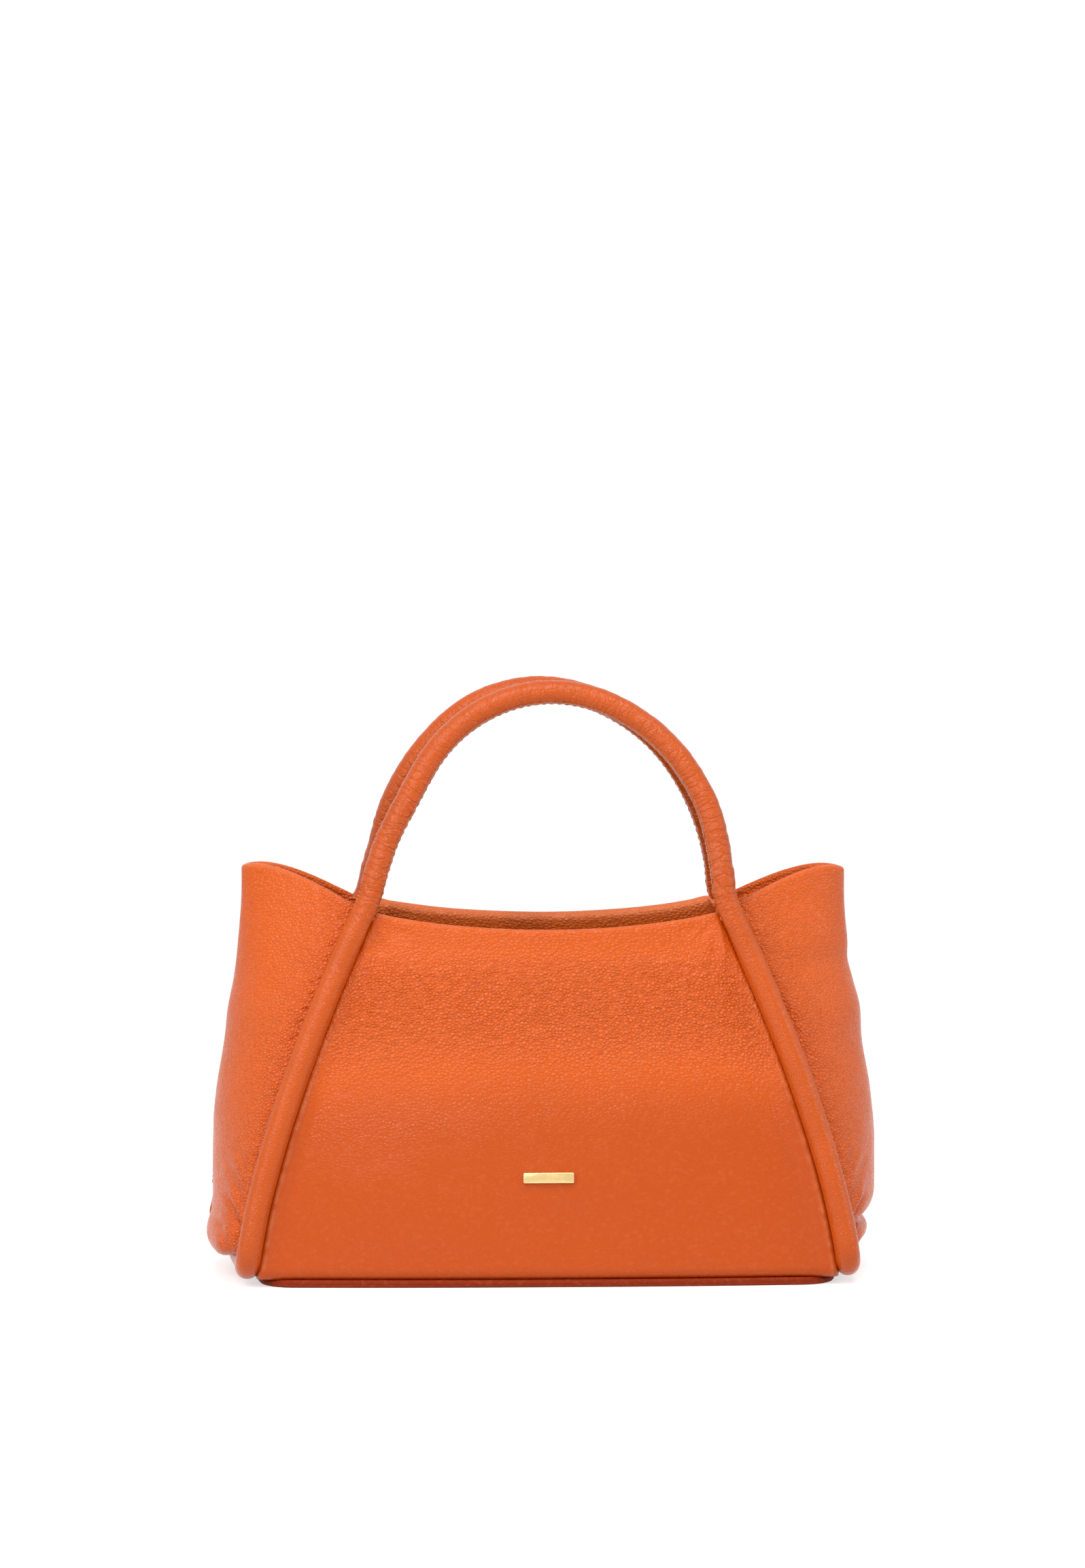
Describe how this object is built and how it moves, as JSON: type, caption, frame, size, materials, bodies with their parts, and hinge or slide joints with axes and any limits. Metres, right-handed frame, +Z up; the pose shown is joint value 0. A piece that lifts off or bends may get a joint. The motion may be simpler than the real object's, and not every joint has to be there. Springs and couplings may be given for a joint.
{
  "type": "shopper bag",
  "caption": "Soft leather shopper bag with rolled tube handles that fold at the rim, soft side folds, a flat base and a lined inside with a zip pocket, snap and strap rings.",
  "frame": {"origin": "middle of the base, on the surface that the bag stands on", "axes": "+Z up, +X to the right seen from the front, the front faces -Y"},
  "size_m": [0.321, 0.1374, 0.287],
  "materials": {
    "leather": "pebbled orange leather, semi-matt",
    "facing": "orange leather facing, matt",
    "lining": "woven cotton lining",
    "cord": "twisted cotton cord",
    "felt": "stiffening felt",
    "board": "plastic base board",
    "gold": "polished light gold",
    "steel": "plain steel washer",
    "tape": "woven zip tape"
  },
  "bodies": {
    "root": {"front_panel": "leather", "back_panel": "leather", "left_side_panel": "leather", "right_side_panel": "leather", "base_panel": "leather", "base_board": "board", "front_stiffener": "felt", "back_stiffener": "felt", "front_left_tube": "leather", "front_right_tube": "leather", "back_left_tube": "leather", "back_right_tube": "leather", "left_base_tube": "leather", "right_base_tube": "leather", "front_left_tube_cord": "cord", "front_right_tube_cord": "cord", "back_left_tube_cord": "cord", "back_right_tube_cord": "cord", "left_base_tube_cord": "cord", "right_base_tube_cord": "cord", "lining": "lining", "mouth_facing": "facing", "blank_plate": "gold", "snap_stud": "gold", "snap_socket": "gold", "front_snap_washer": "steel", "back_snap_washer": "steel", "slip_pocket": "lining", "zip_pocket": "lining", "zip_tape": "tape", "zip_chain": "gold", "left_zip_stop": "gold", "right_zip_stop": "gold", "left_ring_tab": "facing", "right_ring_tab": "facing"},
    "front_handle": {"front_handle_tube": "leather", "front_handle_cord": "cord"},
    "back_handle": {"back_handle_tube": "leather", "back_handle_cord": "cord"},
    "left_ring": {"left_strap_ring": "gold"},
    "right_ring": {"right_strap_ring": "gold"},
    "slider": {"zip_slider": "gold"},
    "pull": {"zip_pull": "gold"}
  },
  "joints": [
    {"name": "front_handle_fold", "type": "hinge", "parent": "root", "child": "front_handle", "pos_m": [0, -0.03854, 0.1897], "axis": [1, 0, 0], "range_deg": [-1.5, 95]},
    {"name": "back_handle_fold", "type": "hinge", "parent": "root", "child": "back_handle", "pos_m": [0, 0.03854, 0.1897], "axis": [-1, 0, 0], "range_deg": [-1.5, 95]},
    {"name": "left_ring_swing", "type": "hinge", "parent": "root", "child": "left_ring", "pos_m": [-0.1336, 0, 0.1855], "axis": [0, 0, 1], "range_deg": [-20, 20]},
    {"name": "right_ring_swing", "type": "hinge", "parent": "root", "child": "right_ring", "pos_m": [0.1336, 0, 0.1855], "axis": [0, 0, 1], "range_deg": [-20, 20]},
    {"name": "zip_slide", "type": "slide", "parent": "root", "child": "slider", "axis": [-1, 0, 0], "range_m": [0, 0.096]},
    {"name": "zip_pull_swing", "type": "hinge", "parent": "slider", "child": "pull", "pos_m": [0.0496, 0.03981, 0.11332], "axis": [-1, 0, 0], "range_deg": [-8, 150]}
  ]
}
